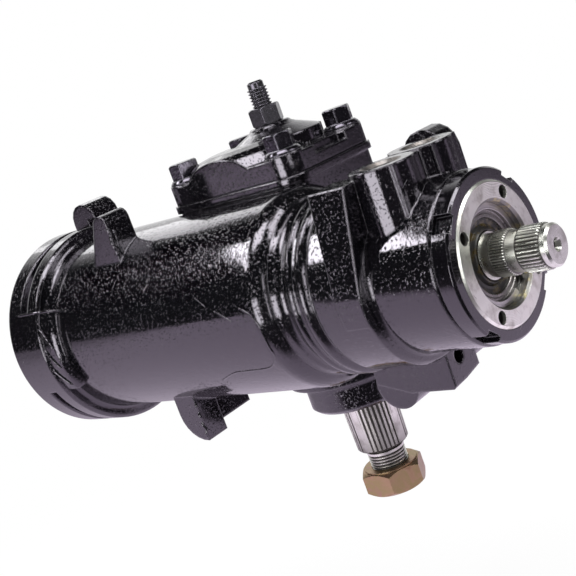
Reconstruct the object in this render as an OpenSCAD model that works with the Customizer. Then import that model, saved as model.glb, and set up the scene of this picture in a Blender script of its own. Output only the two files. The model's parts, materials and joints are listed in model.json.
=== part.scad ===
// Steering gearbox: a recirculating-ball power steering gear for a frame rail.
// All sizes are in millimetres and +Z is up.
// Inside the modules the worm axis is the X axis and the sector axis stands upright beside it.
// Each sub-part is then moved by DATUM, so that the origin is the mouth of the lower front frame bolt hole.

/* [Casting] */
// Distance of the rack's pitch plane from the worm axis
rack_y = 24.6; // [23:0.1:26]
// Wall of the power cylinder
cyl_wall = 11.1; // [9:0.1:14]
// Rear end of the casting along the worm axis
rear_x = -152; // [-183:0.5:-147]
// Rise of the rear flange above the cylinder
flange_h = 7.3; // [5:0.1:10]
// Width of the rear flange
flange_w = 31; // [28:0.5:36]
// Front end of the power cylinder, where it rounds over
cyl_front_x = 50; // [49:0.5:52]
// Wall of the valve housing around the adjuster plug
valve_wall = 6.6; // [5:0.1:8]
// Rise of the drum behind the hose ports above the valve housing
drum_step = 4.9; // [4:0.1:6.5]
// Front end of the valve housing
valve_end_x = 139.5; // [135:0.5:168]
// Rise of the side cover joint above the power cylinder
joint_rise = 4; // [3:0.5:8]
// Wall of the sector chamber
chamber_wall = 6; // [5:0.1:9]
// Wall of the pitman boss
boss_wall = 6.05; // [5:0.05:8]
// Lower face of the pitman boss
boss_z = -80; // [-84:0.5:-79]
// Rise of the frame pads beyond the sector chamber
pad_rise = 1.9; // [1:0.1:8]

/* [Hose ports] */
// Position of the two ports along the worm axis
port_x = 114; // [112:0.5:115]
// Half the distance between the two ports
port_half_gap = 16; // [15.5:0.5:18]
// Top of the port bosses
port_top_z = 53.7; // [52:0.1:56]
// Radius of the tapped port holes
port_hole_r = 8; // [7:0.1:9]

/* [Power train] */
// Swing of the pitman shaft to each side, in degrees
swing = 40; // [36:1:41]
// Radius of the power cylinder's bore
bore_r = 39.9; // [33:0.1:48]
// Radial clearance of sliding and turning fits
fit_gap = 0.05; // [0.02:0.01:0.08]
// Pitch radius of the sector
sector_pitch_r = 26; // [24:0.1:31.5]
// Pressure angle of the rack
rack_angle = 25; // [24:0.5:26]
// Free space left beside each tooth flank
flank_gap = 0.32; // [0.3:0.01:0.45]
// Turns of the worm for one turn of the pitman shaft
steer_ratio = 14; // [13:0.5:15]
// Radius of the recirculating balls
ball_r = 2.7; // [2.3:0.05:3.25]
// Radius of the circle the ball centres run on
ball_circle_r = 11.9; // [11.7:0.1:12.1]

/* [Input] */
// Length of the adjuster plug outside the valve housing
plug_out = 9.3; // [8:0.1:12]
// Outer radius of the adjuster plug's thread
plug_r = 33; // [31:0.1:40]
// Wall of the lock nut
lock_wall = 5.9; // [5:0.1:7]
// Length of the input shaft outside the adjuster plug
stub_out = 27; // [25:0.1:34]
// Outer radius of the input spline
stub_r = 10.32; // [10:0.02:10.6]
// Teeth of the input spline
stub_teeth = 36; // [30:2:40]

/* [Pitman shaft] */
// Radius of the pitman shaft in its bearings
shaft_r = 17.45; // [16:0.05:20.95]
// Largest radius of the pitman spline
pitman_r = 15.88; // [15.5:0.02:16.2]
// Lower end of the pitman spline
pitman_end_z = -112; // [-116:0.5:-110]
// Radius of the pitman thread
thread_r = 11.1; // [10.8:0.1:11.4]
// Width of the pitman nut across its flats
pitman_nut_af = 33.3; // [32:0.1:35]

/* [Side cover] */
// Middle of the cover along X, counted from the sector axis
cover_x = -6.1; // [-8:0.1:-4]
// Middle of the cover along Y, counted from the sector axis
cover_y = -5.55; // [-8:0.05:-4]
// Distance of the bolt rows along X beyond the edge of the cover's hole
bolt_beyond = 4.6; // [3.5:0.1:8]
// Distance of the bolt rows along Y within the edge of the cover's hole
bolt_within = 6.45; // [4:0.05:7.5]
// Height of the cover's bolt seats above the joint
cover_t = 11.4; // [10:0.2:13]
// Top of the cover's dome above the joint
dome_h = 26; // [24:0.5:28]
// Radius of the lash screw
lash_r = 5.5; // [5:0.1:6]
// Top of the lash screw above the joint
lash_h = 50.1; // [46:0.1:54]

/* [Hidden] */
$fn = 72;
// Radial gap between parts that stay still against each other
press = 0.03;

// Rack and sector
sector_y = rack_y + sector_pitch_r;
sector_teeth = 10;
tooth_m = 2 * sector_pitch_r / sector_teeth;
rack_pitch = PI * tooth_m;
rack_tip_y = rack_y + 0.8 * tooth_m;
rack_root_y = rack_y - 0.9 * tooth_m - 0.5;
sector_tip_r = sector_pitch_r + 0.9 * tooth_m;
sector_root_r = sector_pitch_r - 0.8 * tooth_m - 0.6;
sector_half_h = 24;
base_r = sector_pitch_r * cos(rack_angle);
half_tooth = (rack_pitch / 4 - flank_gap / cos(rack_angle)) / sector_pitch_r * 180 / PI;
journal_r = 15;
lash_pocket_r = lash_r + 4;

// Outside of the casting
cyl_r = bore_r + cyl_wall;
flange_r = cyl_r + flange_h;
valve_r = plug_r + valve_wall;
drum_r = valve_r + drum_step;
lock_r = plug_r + lock_wall;
joint_z = cyl_r + joint_rise;
chamber_bore_r = sector_tip_r + 2.82;
chamber_r = chamber_bore_r + chamber_wall;
boss_r = shaft_r + 8 + boss_wall;
pad_y = sector_y + chamber_r + pad_rise;

// Frame bolt holes as X and Z on the pad plane, and depth: rear upper, lower rear, lower front, upper front
FRAME_HOLES = [[-112, 22, 22], [-72, -44, 21], [58, -62, 24], [58, 20, 23]];
DATUM = [-FRAME_HOLES[2][0], -pad_y, -FRAME_HOLES[2][1]];
frame_hole_r = 4.7;
frame_boss_r = 12.6;
bracket_hole_r = 4;
bracket_hole_depth = 14;
// Front face, near face and underside of the lower front lug
lug_front_x = 94;
lug_near_y = 10;
lug_low_z = -cyl_r - 15;

// Stations along the worm axis, from the rear to the input
plug_face_x = valve_end_x + plug_out;
stub_end_x = plug_face_x + stub_out;
seat_x = rear_x + 23.5;
ring_x = rear_x + 8.6;
wall_in_x = cyl_front_x - 4;
wall_out_x = wall_in_x + 7;
worm_flange_x = wall_out_x + 4;
valve_x = worm_flange_x + 4;
valve_front_x = valve_x + 54;
plug_in_x = valve_front_x + 4.2;
seal_x = plug_face_x - 13.3;
dust_x = plug_face_x - 8.3;
neck_x = plug_face_x - 5.8;
band_x = [stub_end_x - 28.4, stub_end_x - 20];
spline_x = stub_end_x - 15.4;
drum_end_x = 103;

// Hose ports: depth of the tapped hole, and the seat below it
port_depth = 9;
port_seat_r = 6;
port_seat_h = 7;

// Power piston, which travels with the pitman shaft's swing
travel = sector_pitch_r * swing * PI / 180;
piston_r = bore_r - fit_gap;
piston_x = [seat_x + travel + 5.5, wall_in_x - travel - 0.85];
rack_flat_x = -sector_tip_r - travel;
piston_ring_x = piston_x[0] + 10;
plug_bore_r = 14;
end_bore_r = bore_r + 2.1;

// Ball screw: the circuit starts at 270 degrees and leaves after two and a half turns
worm_lead = 2 * PI * sector_pitch_r / steer_ratio;
groove_r = ball_r + 0.4;
worm_r = ball_circle_r - 0.7;
nut_r = ball_circle_r - 0.15;
groove_half = sqrt(pow(groove_r, 2) - pow(ball_circle_r - worm_r, 2));
circuit_end_x = piston_x[1] - 7.83;
circuit_x = circuit_end_x - 2.5 * worm_lead;
circuit_length = 2.5 * sqrt(pow(2 * PI * ball_circle_r, 2) + pow(worm_lead, 2));
ball_count = floor(circuit_length / (2 * ball_r + 0.1)) + 1;
groove_x = circuit_x - 0.75 * worm_lead;
worm_tip_x = circuit_x - travel - 4;
nut_bore_x = worm_tip_x - travel - 9.7;
worm_start_x = groove_x - 3 * worm_lead;
// Ball groove of the worm and of the nut: distance along the axis and radius
GROOVE = [for (u = [-1, -0.8, -0.5, -0.17, 0.17, 0.5, 0.8, 1])
    [u * groove_half, ball_circle_r - sqrt(pow(groove_r, 2) - pow(u * groove_half, 2))]];
RIDGE = concat([[-groove_half - 0.1, nut_r - 0.3]],
    [for (u = [-0.97, -0.6, -0.2, 0.2, 0.6, 0.97])
        [u * groove_half, ball_circle_r + sqrt(pow(groove_r, 2) - pow(u * groove_half, 2))]],
    [[groove_half + 0.1, nut_r - 0.3]]);
// Ball guide: a bent tube on the near side of the piston
guide_r = ball_r + 1.5;
guide_y = -bore_r + guide_r + 5.2;
guide_floor_y = guide_y + guide_r + 2.3;
guide_run = sqrt(pow(circuit_end_x - circuit_x, 2) + pow(2 * ball_circle_r, 2));
guide_turn = atan2(2 * ball_circle_r, circuit_end_x - circuit_x);

// Valve and input shaft
valve_bore_r = plug_r - 3;
valve_body_r = valve_bore_r - 1.6;
valve_lands = [for (k = [0:3]) valve_x + 7 + 12 * k];
land_depth = 2.2;
worm_neck_r = 14;
input_r = stub_r + 0.58;
spool_r = input_r + 5.1;
stub_bore_r = 5;
torsion_r = 4.2;
drive_pin_r = 2;
drive_pin_y = spool_r + 3;
plug_bearing_r = input_r + 4.1;
spanner_hole_r = 3.1;
spanner_r = plug_r - 4.6;
spanner_turn = 32.7;
dust_seal_r = spanner_r - 4.9;
stub_seal_r = dust_seal_r - 3.5;

// Side cover
bolt_r = 4.7;
bolt_flange_r = 10;
bolt_depth = 15;
cover_edge = 12;
cover_lip = 1.3;
cover_hole_r = sector_tip_r + 1.32;
cover_seal_r = cover_hole_r + 2.4;
bolt_half = [cover_hole_r + bolt_beyond, cover_hole_r - bolt_within];
dome_off = [-4, -7];
dome_r = bolt_half[1] + cover_edge - cover_lip + dome_off[1] - 0.4;
bush_r = 19;
bush_z = 27;

BLACK = [0.05, 0.05, 0.055];
STEEL = [0.62, 0.62, 0.63];
BRIGHT = [0.75, 0.75, 0.74];
GOLD = [0.72, 0.58, 0.30];
BRONZE = [0.62, 0.45, 0.22];
RUBBER = [0.09, 0.09, 0.09];

// Points of an arc, used for rounded corners of profiles
function arc(c, r, a0, a1, n) =
    [for (i = [0:n]) [c[0] + r * cos(a0 + (a1 - a0) * i / n), c[1] + r * sin(a0 + (a1 - a0) * i / n)]];

// Outline of a rectangle with rounded corners
function round_box(w, h, r, n) = concat(
    arc([w / 2 - r, h / 2 - r], r, 0, 90, n),
    arc([-w / 2 + r, h / 2 - r], r, 90, 180, n),
    arc([-w / 2 + r, -h / 2 + r], r, 180, 270, n),
    arc([w / 2 - r, -h / 2 + r], r, 270, 360, n));

// Point of an outline at radius r, an angle a from +X
function polar(r, a) = [r * cos(a), r * sin(a)];

// Outline of a serrated shaft with n straight-sided teeth
function serrated(n, tip, root) =
    [for (i = [0:n - 1]) for (k = [[-0.36, root], [-0.13, tip], [0.13, tip], [0.36, root]])
        polar(k[1], 360 * (i + k[0]) / n)];

// Involute of an angle in degrees, in degrees
function inv(a) = tan(a) * 180 / PI - a;

// Half the angle a sector tooth takes at radius r
function tooth_half(r) = half_tooth + inv(rack_angle) - inv(acos(min(1, base_r / max(r, base_r))));

// Outline of one sector tooth that points along +X, with involute flanks and a foot inside the root
function tooth_outline(steps) =
    let (rs = [for (i = [0:steps]) base_r + (sector_tip_r - base_r) * i / steps])
    let (foot_r = sector_root_r - 1)
    let (foot_a = tooth_half(base_r))
    concat([polar(foot_r, -foot_a)],
        [for (r = rs) polar(r, -tooth_half(r))],
        [for (i = [steps:-1:0]) polar(rs[i], tooth_half(rs[i]))],
        [polar(foot_r, foot_a)]);

module rod_x(x0, x1, r) translate([x0, 0, 0]) rotate([0, 90, 0]) cylinder(r = r, h = x1 - x0);

module rod_y(x, y0, y1, z, r) translate([x, y0, z]) rotate([-90, 0, 0]) cylinder(r = r, h = y1 - y0);

module rod_z(x, y, z0, z1, r) translate([x, y, z0]) cylinder(r = r, h = z1 - z0);

module tube_x(x0, x1, r_out, r_in) difference() {
    rod_x(x0, x1, r_out);
    rod_x(x0 - 1, x1 + 1, r_in);
}

module tube_z(z0, z1, r_out, r_in) difference() {
    rod_z(0, 0, z0, z1, r_out);
    rod_z(0, 0, z0 - 1, z1 + 1, r_in);
}

module box(lo, hi) translate(lo) cube(hi - lo);

// Turned shape about the worm axis, from points of radius and X
module spin_x(pts) rotate([0, 90, 0]) rotate_extrude() polygon(pts);

// Turned shape about an upright axis, from points of radius and Z
module spin_z(pts) rotate_extrude() polygon(pts);

// Straight bar with an outline in X and Z, from y0 to y1
module prism_y(y0, y1, pts)
    translate([0, y1, 0]) rotate([90, 0, 0]) linear_extrude(height = y1 - y0) polygon(pts);

// Straight bar with an outline in Y and Z, from x0 to x1
module prism_x(x0, x1, pts)
    translate([x0, 0, 0]) rotate([90, 0, 90]) linear_extrude(height = x1 - x0) polygon(pts);

// Ring of round section about the worm axis
module o_ring_x(x, r, wire_r)
    translate([x, 0, 0]) rotate([0, 90, 0]) rotate_extrude() translate([r, 0]) circle(r = wire_r, $fn = 24);

module at_sector() translate([0, sector_y, 0]) children();

module at_cover() translate([cover_x, sector_y + cover_y, joint_z]) children();

module each_bolt() for (i = [-1, 1]) for (j = [-1, 1])
    translate([cover_x + i * bolt_half[0], sector_y + cover_y + j * bolt_half[1], 0]) children();

module each_port() for (s = [-1, 1]) translate([port_x, s * port_half_gap, 0]) children();

// Hexagon with chamfered corners, standing on z0
module hex_z(af, z0, h, c) translate([0, 0, z0]) intersection() {
    cylinder(r = af / sqrt(3), h = h, $fn = 6);
    spin_z([[0, 0], [af / 2, 0], [af / sqrt(3), c], [af / sqrt(3), h - c], [af / 2, h], [0, h]]);
}

// Threaded rod with ring-shaped ridges
module ridged(z0, z1, r, pitch) {
    n = floor((z1 - z0) / pitch);
    d = 0.55 * pitch;
    spin_z(concat([[0, z0]],
        [for (i = [0:n - 1]) for (k = [[0, 0.06], [0, 0.14], [1, 0.5], [1, 0.62], [0, 0.98]])
            [r - d * k[0], z0 + pitch * (i + k[1])]],
        [[r, z1], [0, z1]]));
}

// Right-handed screw about the X axis whose profile repeats with every lead
module helix_bar(x0, leads, marks) {
    cols = 24;
    per = len(marks);
    rows = [for (k = [0:leads]) for (m = marks) [k * worm_lead + m[0], m[1]]];
    n = len(rows);
    last = n - 1 - per;
    low = n * cols;
    high = low + 1;
    function at(i, j) = j == cols ? (i + per) * cols : i * cols + j;
    polyhedron(points = concat(
        [for (i = [0:n - 1]) for (j = [0:cols - 1]) [x0 + rows[i][0] + worm_lead * j / cols,
            rows[i][1] * cos(360 * j / cols), rows[i][1] * sin(360 * j / cols)]],
        [[x0 + worm_lead / 2, 0, 0], [x0 + rows[n - 1][0] - worm_lead / 2, 0, 0]]),
        faces = concat(
        [for (i = [0:last - 1]) for (j = [0:cols - 1]) [at(i, j), at(i + 1, j), at(i + 1, j + 1)]],
        [for (i = [0:last - 1]) for (j = [0:cols - 1]) [at(i, j), at(i + 1, j + 1), at(i, j + 1)]],
        [for (j = [0:cols - 1]) [low, at(0, j), at(0, j + 1)]],
        [for (i = [0:per - 1]) [low, at(i + 1, 0), at(i, 0)]],
        [for (j = [0:cols - 1]) [high, at(last, j + 1), at(last, j)]],
        [for (i = [0:per - 1]) [high, at(last + i, 0), at(last + i + 1, 0)]]));
}

// Outside of the casting that is round about the worm axis
module cast_round() {
    collar = 2.6;
    spin_x(concat(
        [[0, rear_x], [flange_r - 2, rear_x], [flange_r, rear_x + 2], [flange_r, rear_x + flange_w - 1.5]],
        [[flange_r - 1.5, rear_x + flange_w]],
        arc([cyl_r + 3, rear_x + flange_w + 3], 3, 270, 180, 4),
        arc([cyl_r - 9, cyl_front_x - 9], 9, 0, 70, 5),
        arc([drum_r + 1.5, cyl_front_x + 6], 4, 240, 180, 4),
        arc([drum_r - 1, cyl_front_x + 12.5], collar, -60, 60, 4),
        arc([drum_r - 1, cyl_front_x + 19], collar, -60, 60, 4),
        [[drum_r - 1.5, cyl_front_x + 22.5], [drum_r, cyl_front_x + 24.5]],
        [[drum_r, drum_end_x - 2], [drum_r - 1.5, drum_end_x]],
        [[valve_r + 1, drum_end_x + 0.6], [valve_r, drum_end_x + 2]],
        [[valve_r, valve_end_x - 1], [valve_r - 1, valve_end_x], [0, valve_end_x]]));
}

// Groove round the rear flange, which leaves a plain block on each side
module flange_groove() difference() {
    groove_w = 6;
    start_x = rear_x + 14;
    spin_x([[flange_r - 4, start_x + 1.2], [flange_r + 5, start_x - 0.8],
        [flange_r + 5, start_x + groove_w + 3.3], [flange_r - 4, start_x + groove_w - 1.2]]);
    box([rear_x, -flange_r - 10, -22], [rear_x + flange_w, flange_r + 10, 25.6]);
}

// Sector chamber with the pitman boss below it
module sector_outside() {
    low_z = -62;
    fillet = 6;
    rod_z(0, sector_y, low_z, joint_z - 2, chamber_r);
    box([-chamber_r, 0, -cyl_r + 2], [chamber_r, sector_y, joint_z - 5]);
    at_sector() spin_z(concat(
        [[0, low_z + 12], [0, boss_z], [boss_r - 2, boss_z], [boss_r, boss_z + 2]],
        arc([boss_r + fillet, low_z - 4], fillet, 180, 90, 4),
        [[boss_r + fillet, low_z + 12]]));
}

// Outline round the four cover bolts, at a distance from their rows
module cover_outline(edge)
    polygon(round_box(2 * (bolt_half[0] + edge), 2 * (bolt_half[1] + edge), edge, 6));

module cover_flange() {
    depth = 15;
    lip = 4;
    at_cover() {
        translate([0, 0, -lip]) linear_extrude(height = lip) cover_outline(cover_edge);
        translate([0, 0, -depth]) linear_extrude(height = depth - 1) cover_outline(cover_edge - 2);
    }
    each_bolt() rod_z(0, 0, joint_z - bolt_depth - 4, joint_z - depth + 1, cover_edge - 2.5);
}

// Bar along Y with a rounded top
module ear(x, y0, y1, z0, z1, r)
    prism_y(y0, y1, concat([[x - r, z0], [x + r, z0]], arc([x, z1 - r], r, 0, 180, 8)));

// Bar along Y below the cylinder that is rounded towards the rear
module keel(x, y0, y1, z1, r)
    prism_y(y0, y1, concat([[x, -30], [x - r, -30]], arc([x, z1 + r], r, 180, 270, 6)));

// Lugs cast on the body
module lugs() {
    top_z = cyl_r + 15.5;
    prism_y(-32, -15, concat([[-88, 30], [-60, 30]], arc([-65, top_z - 5], 5, 0, 110, 4),
        [[-70, top_z - 2.5]]));
    ear(rear_x + 10.5, 18, 37, 30, flange_r + 12.7, 11);
    keel(-47, -30, -15, -cyl_r - 17, 16);
    keel(-48, -15.5, 9, -cyl_r - 11, 12);
    prism_y(lug_near_y, lug_near_y + 24, [[46.5, lug_low_z + 6], [46.5, -30], [lug_front_x, -30],
        [lug_front_x, lug_low_z + 1.5], [lug_front_x - 1.5, lug_low_z], [66, lug_low_z]]);
    ear(port_x - 14, 38, 51, 10, port_top_z + 3.3, 12);
    box([port_x - 25, 10, 8], [port_x - 3, 46, port_top_z - 11.7]);
}

// Sloping underside of the lower front lug
module lug_slope()
    translate([74, lug_near_y, lug_low_z]) rotate([8, 0, 0]) box([0, 0, -30], [40, 60, 0]);

// Boss for one frame bolt, wider by its draft at the root, with a gusset that ties it to the body
module frame_boss(hole, near_y, draft, web_w, web_z) {
    translate([hole[0], near_y, hole[1]]) rotate([-90, 0, 0])
        cylinder(r1 = frame_boss_r + draft, r2 = frame_boss_r, h = pad_y - near_y);
    prism_x(hole[0] - web_w, hole[0] + web_w,
        [[near_y + 4, hole[1]], [near_y + 4, web_z], [near_y + 18, web_z], [pad_y - 10, hole[1]]]);
}

module frame_bosses() {
    frame_boss(FRAME_HOLES[0], 36, 3, 7, -16);
    frame_boss(FRAME_HOLES[1], 16, 3, 7, -8);
    frame_boss(FRAME_HOLES[2], lug_near_y + 0.4, 0, 9, -10);
    frame_boss(FRAME_HOLES[3], 36, 3, 8, -16);
}

module port_bosses() {
    boss = 15.2;
    each_port() {
        rod_z(0, 0, 0, port_top_z, boss);
        box([0, -10, 10], [boss - 1.7, 10, port_top_z]);
    }
    box([port_x - 13, -port_half_gap, 10], [port_x + 8, port_half_gap, port_top_z - 1]);
}

// Flat upright pad beside the ports, with a leaning front edge
module side_pad() {
    rear = port_x - 27;
    top_z = 51;
    intersection() {
        prism_x(rear, port_x, concat(arc([0, 0], drum_r + 0.15, 195, 172, 5),
            [[-38, top_z], [-18, top_z], [-18, -11]]));
        prism_y(-drum_r - 5, 0, [[rear - 1, -20], [port_x - 14, -20], [port_x - 12.5, 0],
            [port_x - 6, top_z + 1], [rear - 1, top_z + 1]]);
    }
}

// Cylinder, valve bore and end plug seat
module worm_bores() {
    rod_x(rear_x - 1, seat_x, end_bore_r);
    spin_x([[0, rear_x - 1], [end_bore_r + 2, rear_x - 1], [end_bore_r, rear_x + 1.5], [0, rear_x + 1.5]]);
    rod_x(ring_x, ring_x + 2.6, end_bore_r + 2.6);
    rod_x(seat_x - 1, wall_in_x, bore_r);
    rod_x(wall_in_x - 1, wall_out_x + 1, 18.5);
    rod_x(wall_out_x, plug_in_x + 2, valve_bore_r);
    rod_x(plug_in_x + 1, valve_end_x + 1, plug_r + 0.2);
}

// Sector chamber and the seats of the pitman bearing and seal
module sector_bores() at_sector() {
    rod_z(0, 0, -sector_half_h - 2, joint_z - 25, chamber_bore_r);
    rod_z(cover_x, cover_y, joint_z - 30, joint_z + 1, cover_hole_r);
    rod_z(0, 0, -50, -20, shaft_r + 0.6);
    rod_z(0, 0, boss_z + 8.5, -45, shaft_r + 4.8);
    rod_z(0, 0, boss_z - 1, boss_z + 9, shaft_r + 6.5);
    rod_z(0, 0, boss_z + 0.7, boss_z + 2.4, shaft_r + 8);
}

// Tapped hose ports, each with a smaller bore for its seat and an oilway to the valve
module port_bores() {
    oilway_r = 3.4;
    floor_z = port_top_z - port_depth - port_seat_h;
    each_port() {
        rod_z(0, 0, port_top_z - port_depth, port_top_z + 1, port_hole_r);
        rod_z(0, 0, floor_z, port_top_z, port_seat_r);
        translate([0, 0, port_top_z - 1.5]) cylinder(r1 = port_hole_r, r2 = port_hole_r + 2.5, h = 2.5);
    }
    rod_z(port_x - 2, -port_half_gap, 20, floor_z + 1, oilway_r);
    translate([port_x, port_half_gap, floor_z - 1]) rotate([0, 225, 0]) cylinder(r = oilway_r, h = 24);
}

module bolt_holes() {
    each_bolt() rod_z(0, 0, joint_z - bolt_depth, joint_z + 1, bolt_r + press);
    for (h = FRAME_HOLES) rod_y(h[0], pad_y - h[2], pad_y + 1, h[1], frame_hole_r);
    translate([lug_front_x - bracket_hole_depth, lug_near_y + 10, lug_low_z + 14])
        rotate([0, 90, 0]) cylinder(r = bracket_hole_r, h = bracket_hole_depth + 1);
}

module housing() color(BLACK) translate(DATUM) difference() {
    union() {
        cast_round();
        sector_outside();
        cover_flange();
        lugs();
        frame_bosses();
        port_bosses();
        side_pad();
    }
    flange_groove();
    lug_slope();
    worm_bores();
    sector_bores();
    port_bores();
    bolt_holes();
}

// Domed body of the side cover, with the neck of the lash screw on it
module cover_dome() {
    rim = cover_t + 7;
    at_cover() intersection() {
        linear_extrude(height = dome_h) cover_outline(cover_edge - cover_lip);
        translate([dome_off[0], dome_off[1], 0]) spin_z([[0, 0], [3 * dome_r, 0], [3 * dome_r, cover_t - 1],
            [dome_r + 8, cover_t - 1], [dome_r + 4, rim - 2.5], [dome_r, rim], [dome_r - 8, rim + 1.4],
            [0, rim + 1.8]]);
    }
    at_sector() translate([0, 0, joint_z]) spin_z(concat(
        [[0, 0], [27, 0], [27, rim - 0.6], [14, dome_h - 2.6]], arc([10, dome_h - 2], 2, 20, 90, 3),
        [[0, dome_h]]));
}

module side_cover() color(BLACK) translate(DATUM) difference() {
    union() {
        at_cover() rod_z(0, 0, -5, 1, cover_hole_r - 0.3);
        each_bolt() rod_z(0, 0, joint_z, joint_z + cover_t, cover_edge - cover_lip - 0.1);
        cover_dome();
        at_sector() rod_z(0, 0, bush_z, joint_z + 1, bush_r + 2);
    }
    at_cover() tube_z(-1, 2, cover_seal_r + 0.2, cover_hole_r + 0.2);
    at_sector() {
        rod_z(0, 0, bush_z - 1, joint_z + 2, bush_r);
        rod_z(0, 0, joint_z + 1, joint_z + 9, journal_r + 1);
        rod_z(0, 0, joint_z + 8, joint_z + dome_h + 1, lash_r + press);
    }
    each_bolt() {
        rod_z(0, 0, joint_z - 1, joint_z + cover_t + 1, bolt_r + 0.5);
        rod_z(0, 0, joint_z + cover_t, joint_z + dome_h, bolt_flange_r + 0.6);
    }
    at_cover() box([bolt_half[0] + 5, cover_edge - bolt_half[1], 6],
        [bolt_half[0] + cover_edge + 8, bolt_half[1] - cover_edge, dome_h]);
}

module cover_seal() color(RUBBER) translate(DATUM) at_cover()
    tube_z(0, 1.9, cover_seal_r, cover_hole_r + 0.4);

module cover_bolts() color(BLACK) translate(DATUM) each_bolt() translate([0, 0, joint_z + cover_t]) {
    spin_z([[0, 0], [bolt_flange_r, 0], [bolt_flange_r, 0.8], [bolt_flange_r - 1.4, 2.4], [0, 2.4]]);
    hex_z(14.3, 1, 10, 1);
    rod_z(0, 0, -cover_t - bolt_depth + 1, 1, bolt_r);
}

module lash_screw() color(BLACK) translate(DATUM) at_sector() translate([0, 0, joint_z]) difference() {
    union() {
        rod_z(0, 0, -4.5, -0.5, lash_pocket_r - 0.5);
        rod_z(0, 0, -3, dome_h, lash_r);
        ridged(dome_h - 0.1, lash_h - 4, lash_r, 1.8);
        spin_z([[0, lash_h - 4.2], [lash_r - 1, lash_h - 4.2], [lash_r - 1, lash_h - 1], [lash_r - 2, lash_h],
            [0, lash_h]]);
    }
    translate([0, 0, lash_h - 4]) cylinder(r = 2.8, h = 5, $fn = 6);
}

module lash_nut() color(BLACK) translate(DATUM) at_sector() difference() {
    hex_z(2 * lash_r + 5, joint_z + dome_h, 10, 1.1);
    rod_z(0, 0, joint_z + dome_h - 1, joint_z + dome_h + 11, lash_r + press);
}

module cover_bush() color(BRONZE) translate(DATUM) at_sector()
    tube_z(bush_z + 0.3, joint_z - 0.5, bush_r - press, journal_r + fit_gap);

// Splined end of the pitman shaft: straight serrations trimmed by a slim cone, with four wide teeth
module pitman_spline() {
    spline_h = boss_z - 2.5 - pitman_end_z;
    translate([0, 0, pitman_end_z]) intersection() {
        linear_extrude(height = spline_h) union() {
            polygon(serrated(36, pitman_r + 0.3, pitman_r - 1.1));
            for (a = [0:90:270]) rotate(a) translate([0, -2]) square([pitman_r + 0.2, 4]);
        }
        spin_z([[0, 0], [pitman_r - 1.6, 0], [pitman_r - 0.7, 1], [pitman_r, spline_h], [0, spline_h]]);
    }
}

module sector_shaft() color(STEEL) translate(DATUM) at_sector() difference() {
    union() {
        rod_z(0, 0, sector_half_h - 14, joint_z + 4, journal_r);
        rod_z(0, 0, -sector_half_h, sector_half_h, sector_root_r);
        intersection() {
            translate([0, 0, -sector_half_h + 2]) linear_extrude(height = 2 * sector_half_h - 4)
                for (a = [-1, 0, 1]) rotate(-90 + a * 360 / sector_teeth) polygon(tooth_outline(6));
            rod_z(0, 0, -sector_half_h, sector_half_h, sector_tip_r);
        }
        rod_z(0, 0, boss_z - 2.5, -20, shaft_r);
        pitman_spline();
        rod_z(0, 0, pitman_end_z - 2.5, pitman_end_z + 1, thread_r - 1.2);
        ridged(pitman_end_z - 27.4, pitman_end_z - 2.4, thread_r, 1.814);
    }
    rod_z(0, 0, joint_z - 5.2, joint_z + 5, lash_pocket_r);
}

module lash_retainer() color(STEEL) translate(DATUM) at_sector()
    tube_z(joint_z + 0.2, joint_z + 3.5, lash_pocket_r - press, lash_r + 0.8);

module pitman_nut() color(GOLD) translate(DATUM) at_sector() difference() {
    union() {
        hex_z(pitman_nut_af, pitman_end_z - 26.5, 13.5, 2);
        rod_z(0, 0, pitman_end_z - 13.5, pitman_end_z - 12.2, pitman_nut_af / 2 - 0.8);
    }
    rod_z(0, 0, pitman_end_z - 30, pitman_end_z - 10, thread_r + press);
}

module pitman_bearing() color(STEEL) translate(DATUM) at_sector() difference() {
    tube_z(boss_z + 9.5, -46, shaft_r + 4.8 - press, shaft_r + fit_gap);
    for (z = [boss_z + 11, boss_z + 22]) tube_z(z, z + 10, shaft_r + 3.2, shaft_r - 1);
}

module pitman_seal() color(RUBBER) translate(DATUM) at_sector()
    tube_z(boss_z + 4, boss_z + 8.9, shaft_r + 6.5 - press, shaft_r + fit_gap);

module seal_washer() color(STEEL) translate(DATUM) at_sector()
    tube_z(boss_z + 2.4, boss_z + 4, shaft_r + 6.4, shaft_r + 0.5);

module pitman_ring() color(STEEL) translate(DATUM) at_sector() difference() {
    tube_z(boss_z + 0.8, boss_z + 2.4, shaft_r + 7.9, shaft_r + 3.5);
    box([0, -4, boss_z], [2 * shaft_r, 4, boss_z + 4]);
}

// Space between two rack teeth, centred on x
module rack_space(x) {
    half_root = rack_pitch / 4 + (rack_root_y - rack_y) * tan(rack_angle);
    half_top = rack_pitch / 4 + (rack_tip_y + 1 - rack_y) * tan(rack_angle);
    translate([x, 0, 0]) linear_extrude(height = 2 * bore_r + 20, center = true)
        polygon([[-half_root, rack_root_y], [half_root, rack_root_y],
            [half_top, rack_tip_y + 1], [-half_top, rack_tip_y + 1]]);
}

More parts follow.
